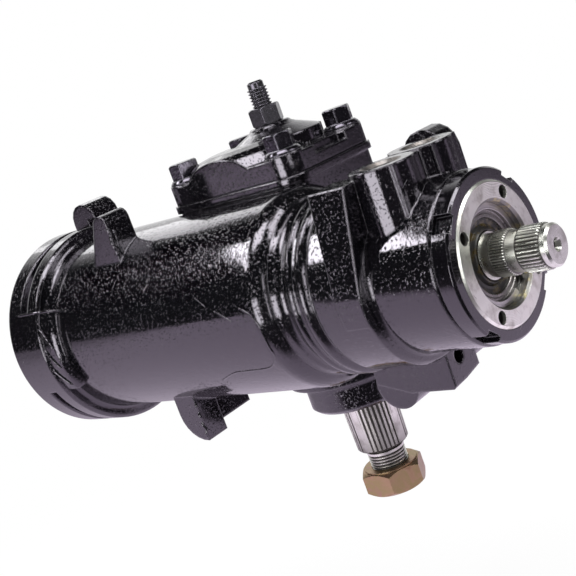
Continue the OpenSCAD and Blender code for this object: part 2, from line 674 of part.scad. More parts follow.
module rack_piston() color(STEEL) translate(DATUM) difference() {
    spin_x([[0, piston_x[0]], [piston_r - 1.5, piston_x[0]], [piston_r, piston_x[0] + 1.5],
        [piston_r, piston_x[1] - 1.5], [piston_r - 1.5, piston_x[1]], [0, piston_x[1]]]);
    box([rack_flat_x, rack_tip_y, -bore_r - 5], [piston_x[1] + 1, bore_r + 5, bore_r + 5]);
    for (k = [-1, 0, 1]) rack_space(k * rack_pitch);
    tube_x(piston_ring_x - 2, piston_ring_x + 2, piston_r + 5, piston_r - 3.4);
    rod_x(nut_bore_x, piston_x[1] + 1, nut_r);
    rod_x(piston_x[0] - 1, nut_bore_x + 2, plug_bore_r);
    intersection() {
        helix_bar(groove_x - worm_lead, 6, RIDGE);
        rod_x(circuit_x - 4, circuit_end_x + 4, 2 * ball_circle_r);
    }
    box([circuit_x - 9, -bore_r - 5, -22], [piston_x[1] + 1, guide_floor_y, 22]);
    rod_y(circuit_x, guide_y, 0, -ball_circle_r, guide_r + 0.2);
    rod_y(circuit_end_x, guide_y, 0, ball_circle_r, guide_r + 0.2);
}

module piston_ring() color(RUBBER) translate(DATUM)
    tube_x(piston_ring_x - 1.9, piston_ring_x + 1.9, bore_r - press, piston_r - 3.3);

module piston_plug() color(STEEL) translate(DATUM) difference() {
    rod_x(piston_x[0] + 1, piston_x[0] + 18, plug_bore_r - press);
    translate([piston_x[0], 0, 0]) rotate([0, 90, 0]) cylinder(r = 6, h = 9, $fn = 6);
}

module worm() color(STEEL) translate(DATUM) difference() {
    union() {
        intersection() {
            helix_bar(worm_start_x, ceil((wall_in_x + 2 - worm_start_x) / worm_lead) + 1, GROOVE);
            rod_x(worm_tip_x, wall_in_x + 1, 2 * ball_circle_r);
        }
        rod_x(wall_in_x, worm_flange_x + 1, journal_r);
        rod_x(worm_flange_x, valve_x, 23.5);
        rod_x(valve_x - 1, valve_x + 3, worm_neck_r);
    }
    rod_x(wall_out_x - 3, valve_x + 4, torsion_r + fit_gap);
    translate([worm_flange_x + 0.5, drive_pin_y, 0]) rotate([0, 90, 0])
        cylinder(r = drive_pin_r + press, h = 5);
}

module balls() color(BRIGHT) translate(DATUM) for (i = [0:ball_count - 1]) {
    a = 270 + 900 * i / (ball_count - 1);
    translate([groove_x + worm_lead * a / 360, ball_circle_r * cos(a), ball_circle_r * sin(a)])
        sphere(r = ball_r, $fn = 32);
}

// Bent tube of radius r that carries the balls back: two legs and a slanting bridge
module guide_path(r, leg_y) {
    elbow = 0.2;
    rod_y(circuit_x, guide_y, leg_y, -ball_circle_r, r);
    rod_y(circuit_end_x, guide_y, leg_y, ball_circle_r, r);
    translate([circuit_x, guide_y, -ball_circle_r]) {
        sphere(r = r + elbow);
        rotate([0, 90 - guide_turn, 0]) cylinder(r = r, h = guide_run);
    }
    translate([circuit_end_x, guide_y, ball_circle_r]) sphere(r = r + elbow);
}

module ball_guide() color(STEEL) translate(DATUM) difference() {
    guide_path(guide_r, -11);
    guide_path(ball_r + 0.3, -10);
}

module guide_clamp() color(STEEL) translate(DATUM)
    translate([(circuit_x + circuit_end_x) / 2, guide_y - guide_r, 0]) rotate([0, -guide_turn, 0]) {
        box([-5, -1.6, -14], [5, 0, 14]);
        for (s = [-1, 1]) {
            rod_y(0, -0.1, guide_floor_y - guide_y + guide_r, s * 10.5, 3);
            rod_y(0, -2.7, -1.5, s * 10.5, 3.3);
        }
    }

module end_plug() color(STEEL) translate(DATUM) difference() {
    edge = end_bore_r - 0.2;
    spin_x([[0, rear_x + 13.5], [30, rear_x + 13.5], [32, ring_x + 2.6], [edge, ring_x + 2.6],
        [edge, rear_x + 15], [edge - 2.8, rear_x + 15], [edge - 2.8, rear_x + 18.2], [edge, rear_x + 18.2],
        [edge, seat_x], [0, seat_x]]);
    translate([rear_x + 10, 0, 0]) rotate([0, 90, 0]) cylinder(r = 5, h = 7);
    rod_x(seat_x - 4, seat_x + 1, 30);
}

module end_plug_seal() color(RUBBER) translate(DATUM) o_ring_x(rear_x + 16.6, end_bore_r - 1.5, 1.4);

module end_ring() color(STEEL) translate(DATUM) difference() {
    tube_x(ring_x + 0.1, ring_x + 2.6, end_bore_r + 2.4, end_bore_r - 2);
    box([rear_x, -5, -end_bore_r - 10], [rear_x + 20, 5, 0]);
}

module valve_body() color(STEEL) translate(DATUM) difference() {
    rod_x(valve_x, valve_front_x, valve_body_r);
    for (x = valve_lands) tube_x(x - 1.6, x + 1.6, valve_body_r + 5, valve_body_r - land_depth);
    rod_x(valve_x + 3, valve_front_x + 1, spool_r + fit_gap);
    rod_x(valve_x - 1, valve_x + 4, worm_neck_r + fit_gap);
    for (k = [0:2]) for (a = [30:90:300]) translate([valve_lands[k] + 6, 0, 0]) rotate([a, 0, 0])
        rod_z(0, 0, 10, valve_body_r + 4, 2.2);
    translate([valve_x - 1, drive_pin_y, 0]) rotate([0, 90, 0]) cylinder(r = drive_pin_r + press, h = 8);
}

module valve_rings() color(RUBBER) translate(DATUM) for (x = valve_lands)
    tube_x(x - 1.5, x + 1.5, valve_bore_r - fit_gap, valve_body_r - land_depth + 0.1);

// Toothed band of the input shaft whose teeth run out at both ends
module stub_teeth_band(x0, x1, n, tip, root, run) intersection() {
    translate([x0, 0, 0]) rotate([0, 90, 0]) linear_extrude(height = x1 - x0) polygon(serrated(n, tip, root));
    spin_x([[0, x0 - 1], [root - 0.4, x0 - 0.01], [tip + 0.1, x0 + run], [tip + 0.1, x1 - run],
        [root - 0.4, x1 + 0.01], [0, x1 + 1]]);
}

module stub_shaft() color(BRIGHT) translate(DATUM) difference() {
    root_r = stub_r - 0.85;
    union() {
        rod_x(valve_x + 3.6, valve_front_x - 1, spool_r);
        rod_x(valve_front_x - 2, neck_x + 0.5, input_r);
        rod_x(neck_x, band_x[0] + 1, input_r - 1);
        stub_teeth_band(band_x[0], band_x[1], 48, stub_r + 0.03, stub_r - 0.72, 1);
        rod_x(band_x[1] - 1, spline_x + 2, stub_r - 1);
        stub_teeth_band(spline_x, stub_end_x - 3, stub_teeth, stub_r, root_r, 1.6);
        spin_x([[0, spline_x + 5], [root_r, spline_x + 5], [root_r, stub_end_x - 1], [root_r - 1, stub_end_x],
            [0, stub_end_x]]);
    }
    rod_x(valve_x - 1, spline_x - 2.4, stub_bore_r);
    for (a = [0:60:300]) rotate([a, 0, 0])
        box([valve_x + 10, -2, spool_r - 2], [valve_front_x - 8, 2, spool_r + 4]);
    spin_x([[0, stub_end_x - 9], [2, stub_end_x - 8], [2, stub_end_x - 2.2], [3.2, stub_end_x],
        [3.2, stub_end_x + 1], [0, stub_end_x + 1]]);
}

module torsion_bar() color(STEEL) translate(DATUM) {
    rod_x(wall_out_x - 2, band_x[0] - 1, torsion_r);
    rod_x(band_x[0] - 2, spline_x - 3.4, stub_bore_r - fit_gap);
}

module drive_pin() color(STEEL) translate(DATUM)
    translate([worm_flange_x + 0.6, drive_pin_y, 0]) rotate([0, 90, 0]) cylinder(r = drive_pin_r, h = 10);

// Two thin races with short rollers in a cage between them
module thrust_bearing(x0, x1, r_in, r_out) {
    race = 1;
    roller_r = (x1 - x0) / 2 - race - press;
    tube_x(x0, x0 + race, r_out, r_in);
    tube_x(x1 - race, x1, r_out, r_in);
    difference() {
        tube_x(x0 + race, x1 - race, r_out - 0.6, r_in + 0.6);
        for (a = [0:20:340]) rotate([a, 0, 0]) box([x0, -1.1, r_in + 1.6], [x1, 1.1, r_out - 1.6]);
    }
    for (a = [0:20:340]) rotate([a, 0, 0]) translate([(x0 + x1) / 2, 0, 0])
        rod_z(0, 0, r_in + 1.7, r_out - 1.7, roller_r);
}

module lower_thrust_bearing() color(STEEL) translate(DATUM)
    thrust_bearing(wall_out_x, worm_flange_x - 0.15, journal_r + 1, 24.5);

module upper_thrust_bearing() color(STEEL) translate(DATUM)
    thrust_bearing(valve_front_x + 0.3, plug_in_x, input_r + 1.1, 22);

module adjuster_plug() color(BRIGHT) translate(DATUM) difference() {
    lip = plug_r - 2.75;
    spin_x([[0, plug_in_x], [valve_bore_r - 0.5, plug_in_x], [valve_bore_r - 0.5, plug_in_x + 3],
        [lip, plug_in_x + 3], [lip, plug_in_x + 6], [plug_r, plug_in_x + 6], [plug_r, plug_face_x - 1],
        [plug_r - 1, plug_face_x], [0, plug_face_x]]);
    rod_x(plug_in_x - 1, seal_x + 0.5, plug_bearing_r);
    rod_x(seal_x, dust_x + 0.1, stub_seal_r);
    rod_x(dust_x, plug_face_x + 1, dust_seal_r);
    spin_x([[0, plug_face_x - 1.2], [dust_seal_r, plug_face_x - 1.2], [dust_seal_r + 1.4, plug_face_x + 0.2],
        [dust_seal_r + 1.4, plug_face_x + 1], [0, plug_face_x + 1]]);
    rod_x(plug_face_x - 5.9, plug_face_x - 4.2, dust_seal_r + 1.1);
    for (a = [0:90:270]) rotate([a - spanner_turn, 0, 0]) translate([plug_face_x - 8, 0, spanner_r])
        rotate([0, 90, 0]) cylinder(r = spanner_hole_r, h = 10);
}

module plug_bearing() color(STEEL) translate(DATUM) difference() {
    tube_x(plug_in_x + 1.8, seal_x - 0.1, plug_bearing_r - press, input_r + fit_gap);
    tube_x(plug_in_x + 3.3, seal_x - 1.5, plug_bearing_r - 1.2, input_r - 1);
}

module stub_seal() color(RUBBER) translate(DATUM)
    tube_x(seal_x + 0.2, dust_x - 0.1, stub_seal_r - press, input_r + fit_gap);

module dust_seal() color(RUBBER) translate(DATUM) spin_x([[input_r + fit_gap, dust_x + 0.1],
    [dust_seal_r - 0.1, dust_x + 0.1], [dust_seal_r - 0.1, dust_x + 2.3], [16, dust_x + 2.3],
    [13.4, dust_x + 2.9], [input_r + 0.3, dust_x + 2.7]]);

module plug_ring() color(STEEL) translate(DATUM) difference() {
    tube_x(plug_face_x - 5.85, plug_face_x - 4.3, dust_seal_r + 1, dust_seal_r - 3.1);
    rotate([215, 0, 0]) box([plug_face_x - 10, -4, 0], [plug_face_x, 4, 2 * dust_seal_r]);
}

module plug_seal() color(RUBBER) translate(DATUM) o_ring_x(plug_in_x + 4.5, plug_r - 1.3, 1.35);

module lock_nut() color(BLACK) translate(DATUM) difference() {
    inner = plug_r + press;
    face_x = plug_face_x - 0.9;
    spin_x([[inner, valve_end_x], [lock_r, valve_end_x], [lock_r, face_x - 1], [lock_r - 1, face_x],
        [inner, face_x]]);
    for (a = [40:90:310]) rotate([-a, 0, 0])
        box([valve_end_x - 1, -4.4, lock_r - 3], [plug_face_x + 1, 4.4, lock_r + 5]);
}

// Flared hose seat pressed into the floor of a port
module port_seat(s)
    translate([port_x, s * port_half_gap, port_top_z - port_depth - port_seat_h]) difference() {
        rim = port_seat_r - press;
        spin_z([[0, 0], [rim, 0], [rim, 2.5], [rim - 1.2, 3], [3.4, port_seat_h], [0, port_seat_h]]);
        rod_z(0, 0, -1, port_seat_h + 1, 2);
    }

module pressure_seat() color(BRONZE) translate(DATUM) port_seat(-1);

module return_seat() color(BRONZE) translate(DATUM) port_seat(1);

housing();
side_cover();
cover_seal();
cover_bolts();
lash_screw();
lash_nut();
cover_bush();
sector_shaft();
lash_retainer();
pitman_nut();
pitman_bearing();
pitman_seal();
seal_washer();
pitman_ring();
rack_piston();
piston_ring();
piston_plug();
worm();
balls();
ball_guide();
guide_clamp();
end_plug();
end_plug_seal();
end_ring();
valve_body();
valve_rings();
stub_shaft();
torsion_bar();
drive_pin();
lower_thrust_bearing();
upper_thrust_bearing();
adjuster_plug();
plug_bearing();
stub_seal();
dust_seal();
plug_ring();
plug_seal();
lock_nut();
pressure_seat();
return_seat();
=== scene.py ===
import json
import math

import bmesh
import bpy
from mathutils import Matrix, Vector


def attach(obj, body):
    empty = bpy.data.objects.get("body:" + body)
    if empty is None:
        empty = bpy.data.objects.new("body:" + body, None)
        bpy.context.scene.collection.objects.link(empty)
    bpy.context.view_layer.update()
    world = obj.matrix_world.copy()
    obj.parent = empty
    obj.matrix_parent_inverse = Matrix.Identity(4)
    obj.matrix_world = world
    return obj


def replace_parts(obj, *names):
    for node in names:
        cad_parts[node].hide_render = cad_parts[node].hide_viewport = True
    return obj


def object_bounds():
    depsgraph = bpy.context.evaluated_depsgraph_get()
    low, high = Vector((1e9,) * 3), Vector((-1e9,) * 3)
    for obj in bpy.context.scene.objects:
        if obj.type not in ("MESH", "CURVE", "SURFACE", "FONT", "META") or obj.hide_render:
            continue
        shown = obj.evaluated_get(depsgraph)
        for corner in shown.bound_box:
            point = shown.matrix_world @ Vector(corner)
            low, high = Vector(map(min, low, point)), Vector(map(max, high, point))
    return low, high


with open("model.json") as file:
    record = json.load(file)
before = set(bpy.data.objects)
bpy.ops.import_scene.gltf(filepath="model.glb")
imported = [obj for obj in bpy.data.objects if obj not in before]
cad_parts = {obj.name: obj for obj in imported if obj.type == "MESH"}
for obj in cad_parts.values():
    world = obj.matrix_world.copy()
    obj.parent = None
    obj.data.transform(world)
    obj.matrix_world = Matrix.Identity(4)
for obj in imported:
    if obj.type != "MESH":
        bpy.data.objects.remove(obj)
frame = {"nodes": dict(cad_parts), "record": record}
cad_low, cad_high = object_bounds()
nodes = frame["nodes"]
mounts = {mount["name"]: mount for mount in frame["record"]["mounts"]}

MM = 0.001

# Axes, places and sizes of the gear in the row frame, in metres
WORM_Y, WORM_Z = mounts["input_spline"]["pos_m"][1:]
SECTOR_X, SECTOR_Y = mounts["pitman_spline"]["pos_m"][:2]
MIDDLE = (cad_low + cad_high) / 2
PLUG_FACE_X = 90.8 * MM
PLUG_MOUTH_R = 24.6 * MM
SEAL_CASE_R = 16.8 * MM
PORT_TOP_ABOVE_MOUNT = 2 * MM

# Toothed reaches along the shafts, and the root and tip radius of their teeth, in metres
STUB_INNER_REACH = (89.4 * MM, 97.8 * MM)
STUB_OUTER_REACH = (102.4 * MM, 114.6 * MM)
STUB_TEETH = (9.4 * MM, 10.2 * MM)
PITMAN_SPLINE_REACH = (-50 * MM, -20.5 * MM)
PITMAN_SPLINE = (14.7 * MM, 15.8 * MM)
PITMAN_THREAD_REACH = (-77.4 * MM, -50 * MM)
PITMAN_THREAD = (10.1 * MM, 11 * MM)

# Places and sizes of the mould's marks in the row frame, in millimetres
BARREL_R = 51
LUG_X, LUG_Y, LUG_LOW_Z = -118, -124, 104
KEEL_X, KEEL_Y, KEEL_TOP_Z = -105, -122, 17
BLOCK_BACK_X, BLOCK_FRONT_X = -180, -170
BLOCK_BACK_R, BLOCK_SLOPE = 56.9, 0.045

# The photograph's camera: its place in metres, its three axes, its lens and sensor in millimetres
CAMERA_EYE = Vector((0.352006, -0.493286, 0.168650))
CAMERA_RIGHT = Vector((0.717526, 0.609123, -0.337824))
CAMERA_UP = Vector((0.125442, 0.364073, 0.922884))
CAMERA_BACK = Vector((0.685142, -0.704571, 0.184822))
CAMERA_LENS = 69.39
CAMERA_SENSOR = 36.0

# The camera's directions along the floor, and the floor's size and its gap below the gear in metres
FLOOR_FRONT = CAMERA_BACK.xy.normalized()
FLOOR_RIGHT = CAMERA_RIGHT.xy.normalized()
FLOOR_R = 6.0
FLOOR_GAP = 0.1

# Each lamp's azimuth, elevation and roll in degrees, distance, width and height in metres, and watts
LAMPS = {
    "left_softbox": (-146, 44, -37, 1.2, 0.58, 0.24, 5.4),
    "back_softbox": (149, 31, 0, 1.4, 0.5, 0.48, 1.4),
    "left_strip": (-92, 1, 0, 1.2, 0.8, 0.5, 8),
    "right_strip": (-22, 2, 0, 1.2, 0.2, 0.8, 2.4),
    "top_softbox": (-60, 72, 0, 1.3, 0.9, 0.5, 13),
    "right_softbox": (20, 40, 0, 1.3, 0.5, 0.7, 8),
}

WHITE = (1.0, 1.0, 1.0, 1.0)
BEVEL_SAMPLES = 6


class Value:
    """A shader socket that takes part in Python sums."""

    def __init__(self, finish, socket):
        self.finish = finish
        self.socket = socket

    def maths(self, operation, *terms):
        return self.finish.node("Math", {"operation": operation}, dict(enumerate(terms)))

    def __add__(self, other):
        return self.maths("ADD", self, other)

    def __sub__(self, other):
        return self.maths("SUBTRACT", self, other)

    def __rsub__(self, other):
        return self.maths("SUBTRACT", other, self)

    def __mul__(self, other):
        return self.maths("MULTIPLY", self, other)

    def __pow__(self, other):
        return self.maths("POWER", self, other)

    __radd__ = __add__
    __rmul__ = __mul__

    def sine(self):
        return self.maths("SINE", self)

    def unsigned(self):
        return self.maths("ABSOLUTE", self)

    def at_most(self, limit):
        return self.maths("MINIMUM", self, limit)


class Finish:
    """A node tree whose nodes all come from one method."""

    def __init__(self, owner):
        owner.use_nodes = True
        self.owner = owner
        self.tree = owner.node_tree
        self.tree.nodes.clear()

    def node(self, kind, settings=None, sockets=None, out=0):
        """Adds a node, sets it up, fills or links its sockets and gives one of its outputs."""
        made = self.tree.nodes.new("ShaderNode" + kind)
        for key, value in (settings or {}).items():
            if key == "stops":
                stops = made.color_ramp.elements
                while len(stops) < len(value):
                    stops.new(1)
                for stop, (position, tone) in zip(stops, value):
                    stop.position = position
                    stop.color = tone
            else:
                setattr(made, key, value)
        for key, value in (sockets or {}).items():
            if isinstance(value, Value):
                self.tree.links.new(value.socket, made.inputs[key])
            else:
                made.inputs[key].default_value = value
        return Value(self, made.outputs[out]) if made.outputs else None

    def place(self):
        return self.node("TexCoord", out="Object")

    def axes(self):
        split = self.node("SeparateXYZ", sockets={0: self.place()}).socket.node
        return [Value(self, output) for output in split.outputs]

    def rays(self):
        """Whether a ray comes from the camera, from a mirror-like face or through a clear one."""
        tests = self.node("LightPath").socket.node.outputs
        return [Value(self, tests["Is %s Ray" % kind]) for kind in ("Camera", "Glossy", "Transmission")]

    def dot(self, first, second):
        return self.node("VectorMath", {"operation": "DOT_PRODUCT"}, {0: first, 1: second}, out="Value")

    def off_axis(self, first, second, at):
        return ((first - at[0]) ** 2.0 + (second - at[1]) ** 2.0) ** 0.5

    def ramp(self, value, low, high):
        return self.node("MapRange", {"clamp": True, "interpolation_type": "SMOOTHSTEP"},
                         {"Value": value, "From Min": low, "From Max": high})

    def between(self, value, low, high, edge=0.3 * MM):
        return self.ramp(value, low - edge, low + edge) * (1 - self.ramp(value, high - edge, high + edge))

    def blend(self, factor, first, second):
        return self.node("Mix", {"data_type": "RGBA"}, {0: factor, 6: first, 7: second}, out=2)

    def noise(self, scale, detail=2.0, roughness=0.5, stretch=None, distortion=0.0):
        where = self.place()
        if stretch:
            where = self.node("Mapping", sockets={"Vector": where, "Scale": stretch})
        return self.node("TexNoise", sockets={"Vector": where, "Scale": scale, "Detail": detail,
                                              "Roughness": roughness, "Distortion": distortion})

    def scratches(self, density, across, half_width, half_length, rarity):
        """Short straight marks: one thin slice through some cells of a random lattice."""
        cell = self.node("TexVoronoi", sockets={"Vector": self.place(), "Scale": density}, out="Position")
        chance = self.node("SeparateXYZ", sockets={0: Value(self, cell.socket.node.outputs["Color"])})
        local = self.node("VectorMath", {"operation": "SUBTRACT"}, {0: self.place(), 1: cell})
        reach = self.node("VectorMath", {"operation": "LENGTH"}, {0: local}, out="Value")
        line = 1 - self.ramp(self.dot(local, across).unsigned(), half_width * 0.5, half_width)
        short = 1 - self.ramp(reach, half_length * 0.7, half_length)
        return line * short * self.ramp(chance, rarity, rarity + 0.02)

    def rounded(self, radius):
        return self.node("Bevel", {"samples": BEVEL_SAMPLES}, {"Radius": radius})

    def edges(self, radius):
        """1 at sharp edges and 0 on flats: how far a rounded normal leans from the face's own."""
        flat = self.node("NewGeometry", out="True Normal")
        return 1 - self.ramp(self.dot(self.rounded(radius), flat), 0.8, 0.97)

    def bump(self, height, depth, rounding=0.0):
        sockets = {"Height": height, "Distance": depth, "Strength": 1.0}
        if rounding:
            sockets["Normal"] = self.rounded(rounding)
        return self.node("Bump", sockets=sockets)

    def shade(self, **inputs):
        """Ends a material in one shader, whose sockets are named in small letters with underscores."""
        sockets = {}
        for key, value in inputs.items():
            sockets[key.replace("_", " ").title().replace("Ior", "IOR")] = value
        shader = self.node("BsdfPrincipled", sockets=sockets)
        self.node("OutputMaterial", sockets={"Surface": shader})
        return self.owner


def colour(red, green, blue):
    return (red, green, blue, 1.0)


def new_finish(name):
    return Finish(bpy.data.materials.new(name))


def cast_paint(name, grain_depth, rounding):
    """Gloss black paint flowed over a sand casting, scratched here and there, with painted highlights along
    its edges.
    """
    f = new_finish(name)
    black = colour(0.0025, 0.0022, 0.003)
    # Light grey for the scratches, and for the painted highlights along the edges
    wear_and_highlight_tone = colour(0.2, 0.19, 0.21)
    pimples = f.ramp(f.noise(820, 2.0, 0.5), 0.56, 0.74)
    fine = f.noise(1500, 1.0)
    swell = f.noise(190, 2.0, 0.5)
    patch = f.ramp(f.noise(24, 2.0), 0.34, 0.66)
    scratch = f.scratches(55, (0.55, 0.35, -0.76), 0.09 * MM, 2.8 * MM, 0.8)
    height = pimples * (0.7 + 0.8 * patch) + fine * 0.1 + swell * 0.7 - scratch * 0.6
    # Painted highlight: lighter along sharp edges, more so in patches, where the gloss would catch light
    painted_edge_highlight = f.edges(0.8 * MM) * (0.15 + 0.35 * patch)
    return f.shade(
        base_color=f.blend(scratch * 0.5 + painted_edge_highlight, black, wear_and_highlight_tone),
        roughness=0.06 + 0.05 * patch + 0.2 * scratch,
        specular_ior_level=1.0,
        specular_tint=colour(0.95, 0.89, 1.0),
        normal=f.bump(height, grain_depth, rounding))


def black_fastener(name, base, rough, rounding, edge_highlight_r):
    """Black coat on rolled and forged fasteners, rubbed in specks, with a painted highlight that lightens
    it near each edge.
    """
    f = new_finish(name)
    # Light grey for the rubbed specks, and for the painted highlight along the edges
    wear_and_highlight_tone = colour(0.2, 0.2, 0.21)
    rub = f.ramp(f.noise(620, 3.0, 0.6), 0.63, 0.72)
    # Painted highlight: lighter near sharp edges, where the coat would catch light
    painted_edge_highlight = f.edges(edge_highlight_r) * 0.6
    return f.shade(
        base_color=f.blend((rub * 0.4 + painted_edge_highlight).at_most(0.7), colour(*base), wear_and_highlight_tone),
        roughness=rough + 0.12 * f.noise(300, 3.0),
        specular_ior_level=1.0,
        specular_tint=colour(0.9, 0.82, 1.0),
        normal=f.bump(f.noise(420, 2.0), 0.05 * MM, rounding))


def turned_steel(name, base, ring_pitch, depth, stain, greasy_r=0.0):
    """Face-turned steel: fine rings about the worm axis, stain and nicks.

    With greasy_r: darker within that radius, with smears of old grease, and painted shade in the holes
    behind the plug's face.
    """
    f = new_finish(name)
    stained = colour(0.3, 0.25, 0.22)
    nicked = colour(0.12, 0.11, 0.1)
    x, y, z = f.axes()
    radius = f.off_axis(y, z, (WORM_Y, WORM_Z))
    wobble = f.noise(70, 2.0)
    rings = ((radius + x * 0.7) * (2 * math.pi / ring_pitch) + wobble * 3.0).sine()
    cloud = f.ramp(f.noise(110, 4.0, 0.6), 0.45, 0.75)
    nick = f.scratches(150, (0.0, 0.8, 0.6), 0.07 * MM, 1.8 * MM, 0.7)
    tone = f.blend(cloud * stain, colour(*base), stained)
    tone = f.blend(nick * 0.7, tone, nicked)
    if greasy_r:
        inside = 1 - f.ramp(radius, greasy_r - 0.2 * MM, greasy_r + 0.2 * MM)
        # Painted shade: the plug is darkened behind its face, in its holes
        holes = 1 - f.ramp(x, PLUG_FACE_X - 2.2 * MM, PLUG_FACE_X - 1.2 * MM)
        smear = f.ramp(f.noise(230, 3.0, 0.6), 0.5, 0.66) * inside
        # Dark tone with yellow smears of old grease; the dark tone also paints the shade in the holes
        grease = f.blend(smear, colour(0.09, 0.085, 0.085), colour(0.33, 0.27, 0.09))
        tone = f.blend((inside + holes).at_most(1.0) * 0.8, tone, grease)
    return f.shade(
        base_color=tone,
        metallic=1.0,
        roughness=0.26 + 0.12 * f.noise(260, 3.0) + 0.15 * cloud,
        normal=f.bump(rings * 0.5 + f.noise(900, 2.0) - nick * 3.0, depth, 0.3 * MM))


def splined_steel(name, base, stretch, axis, at, cuts):
    """Cut steel, bright on the teeth and dark between them.

    The shaft lies along the axis numbered 0 to 2, through at. Each cut is a toothed reach along it with
    the root and tip radius of its teeth.
    """
    f = new_finish(name)
    dulled = colour(0.36, 0.33, 0.31)
    shadow = colour(0.07, 0.064, 0.06)
    places = f.axes()
    across = [place for i, place in enumerate(places) if i != axis]
    radius = f.off_axis(*across, at)
    lines = f.noise(900, 3.0, 0.6, stretch)
    dull = f.ramp(f.noise(140, 4.0, 0.6), 0.4, 0.7)
    tone = f.blend(dull * 0.5, colour(*base), dulled)
    gaps = 0.0
    for (start, end), (root, tip) in cuts:
        gaps = f.between(places[axis], start, end) * (1 - f.ramp(radius, root, tip)) + gaps
    return f.shade(
        base_color=f.blend(gaps, tone, shadow),
        metallic=1.0,
        roughness=0.25 + 0.2 * dull + 0.2 * gaps,
        normal=f.bump(lines, 0.05 * MM, 0.12 * MM))


def yellow_zinc(name):
    """Yellow chromated zinc plate: brown gold with green and rose clouds."""
    f = new_finish(name)
    cloud = f.noise(90, 3.0, 0.6, distortion=0.6)
    tint = f.node("ValToRGB", {"stops": [
        (0.3, colour(0.29, 0.18, 0.11)), (0.46, colour(0.36, 0.24, 0.15)),
        (0.58, colour(0.31, 0.24, 0.12)), (0.7, colour(0.35, 0.21, 0.16))]}, {0: cloud})
    return f.shade(
        base_color=tint,
        metallic=1.0,
        roughness=0.3 + 0.16 * f.noise(400, 3.0),
        normal=f.bump(f.noise(520, 3.0), 0.05 * MM, 0.4 * MM))


def seal_rubber(name):
    f = new_finish(name)
    cloud = f.ramp(f.noise(200, 3.0), 0.4, 0.7)
    return f.shade(
        base_color=f.blend(cloud, colour(0.012, 0.011, 0.011), colour(0.03, 0.028, 0.027)),
        roughness=0.4 + 0.2 * f.noise(300, 2.0),
        normal=f.bump(f.noise(500, 3.0), 0.1 * MM))


def cased_seal(name, case_r):
    """A pressed steel case outside case_r, black rubber inside it, both with smears of old grease."""
    f = new_finish(name)
    rubber = colour(0.012, 0.011, 0.01)
    steel = colour(0.24, 0.23, 0.225)
    grease = colour(0.06, 0.043, 0.014)
    _, y, z = f.axes()
    radius = f.off_axis(y, z, (WORM_Y, WORM_Z))
    case = f.ramp(radius, case_r - 0.1 * MM, case_r + 0.1 * MM)
    smear = f.ramp(f.noise(260, 4.0, 0.6), 0.47, 0.62)
    return f.shade(
        base_color=f.blend(smear * (1 - 0.75 * case) * 0.85, f.blend(case, rubber, steel), grease),
        metallic=case,
        roughness=0.42 - 0.22 * smear,
        normal=f.bump(f.noise(600, 3.0), 0.08 * MM, 0.2 * MM))


def plain_bronze(name):
    f = new_finish(name)
    cloud = f.ramp(f.noise(200, 3.0), 0.35, 0.7)
    return f.shade(
        base_color=f.blend(cloud, colour(0.62, 0.43, 0.2), colour(0.45, 0.3, 0.14)),
        metallic=1.0,
        roughness=0.3 + 0.2 * cloud,
        normal=f.bump(f.noise(700, 2.0), 0.04 * MM))


PAINT = cast_paint("gloss_black_casting", grain_depth=0.08 * MM, rounding=1.8 * MM)
RING_PAINT = cast_paint("gloss_black_ring", grain_depth=0.02 * MM, rounding=0.6 * MM)
BOLT = black_fastener("painted_bolt", (0.004, 0.0036, 0.0048), 0.06, rounding=1.3 * MM, edge_highlight_r=0.7 * MM)
FASTENER = black_fastener("satin_black_fastener", (0.02, 0.02, 0.021), 0.14,
                          rounding=0.6 * MM, edge_highlight_r=0.2 * MM)
PLUG = turned_steel("turned_plug", (0.91, 0.92, 0.85), 0.7 * MM, 0.06 * MM, stain=0.6,
                    greasy_r=PLUG_MOUTH_R)
END_PLUG = turned_steel("turned_end_plug", (0.6, 0.59, 0.57), 0.9 * MM, 0.06 * MM, stain=0.6)
OILED = turned_steel("oiled_thread", (0.16, 0.15, 0.145), 1.1 * MM, 0.03 * MM, stain=0.5)
HARD = turned_steel("plain_hard_steel", (0.5, 0.49, 0.48), 1.1 * MM, 0.03 * MM, stain=0.5)
STUB = splined_steel("ground_input_shaft", (0.7, 0.71, 0.66), (0.15, 1.0, 1.0), 0, (WORM_Y, WORM_Z),
                     [(STUB_INNER_REACH, STUB_TEETH), (STUB_OUTER_REACH, STUB_TEETH)])
PITMAN = splined_steel("splined_pitman_shaft", (0.71, 0.71, 0.66), (1.0, 1.0, 0.15), 2,
                       (SECTOR_X, SECTOR_Y),
                       [(PITMAN_SPLINE_REACH, PITMAN_SPLINE), (PITMAN_THREAD_REACH, PITMAN_THREAD)])
ZINC = yellow_zinc("yellow_zinc_plate")
RUBBER = seal_rubber("black_seal")
CASED_SEAL = cased_seal("greased_dust_seal", SEAL_CASE_R)
BRONZE = plain_bronze("plain_bronze")

FINISHES = {
    PAINT: ["housing", "side_cover"],
    RING_PAINT: ["lock_nut"],
    BOLT: ["cover_bolts"],
    FASTENER: ["lash_screw", "lash_nut"],
    PLUG: ["adjuster_plug"],
    END_PLUG: ["end_plug"],
    STUB: ["stub_shaft"],
    PITMAN: ["sector_shaft"],
    ZINC: ["pitman_nut"],
    CASED_SEAL: ["dust_seal"],
    RUBBER: ["cover_seal", "pitman_seal", "piston_ring", "end_plug_seal", "valve_rings", "stub_seal",
             "plug_seal"],
    BRONZE: ["cover_bush", "pressure_seat", "return_seat"],
}
dressed = {name for names in FINISHES.values() for name in names}
FINISHES[HARD] = sorted(set(nodes) - dressed)
for finish, names in FINISHES.items():
    for name in names:
        nodes[name].data.materials.clear()
        nodes[name].data.materials.append(finish)


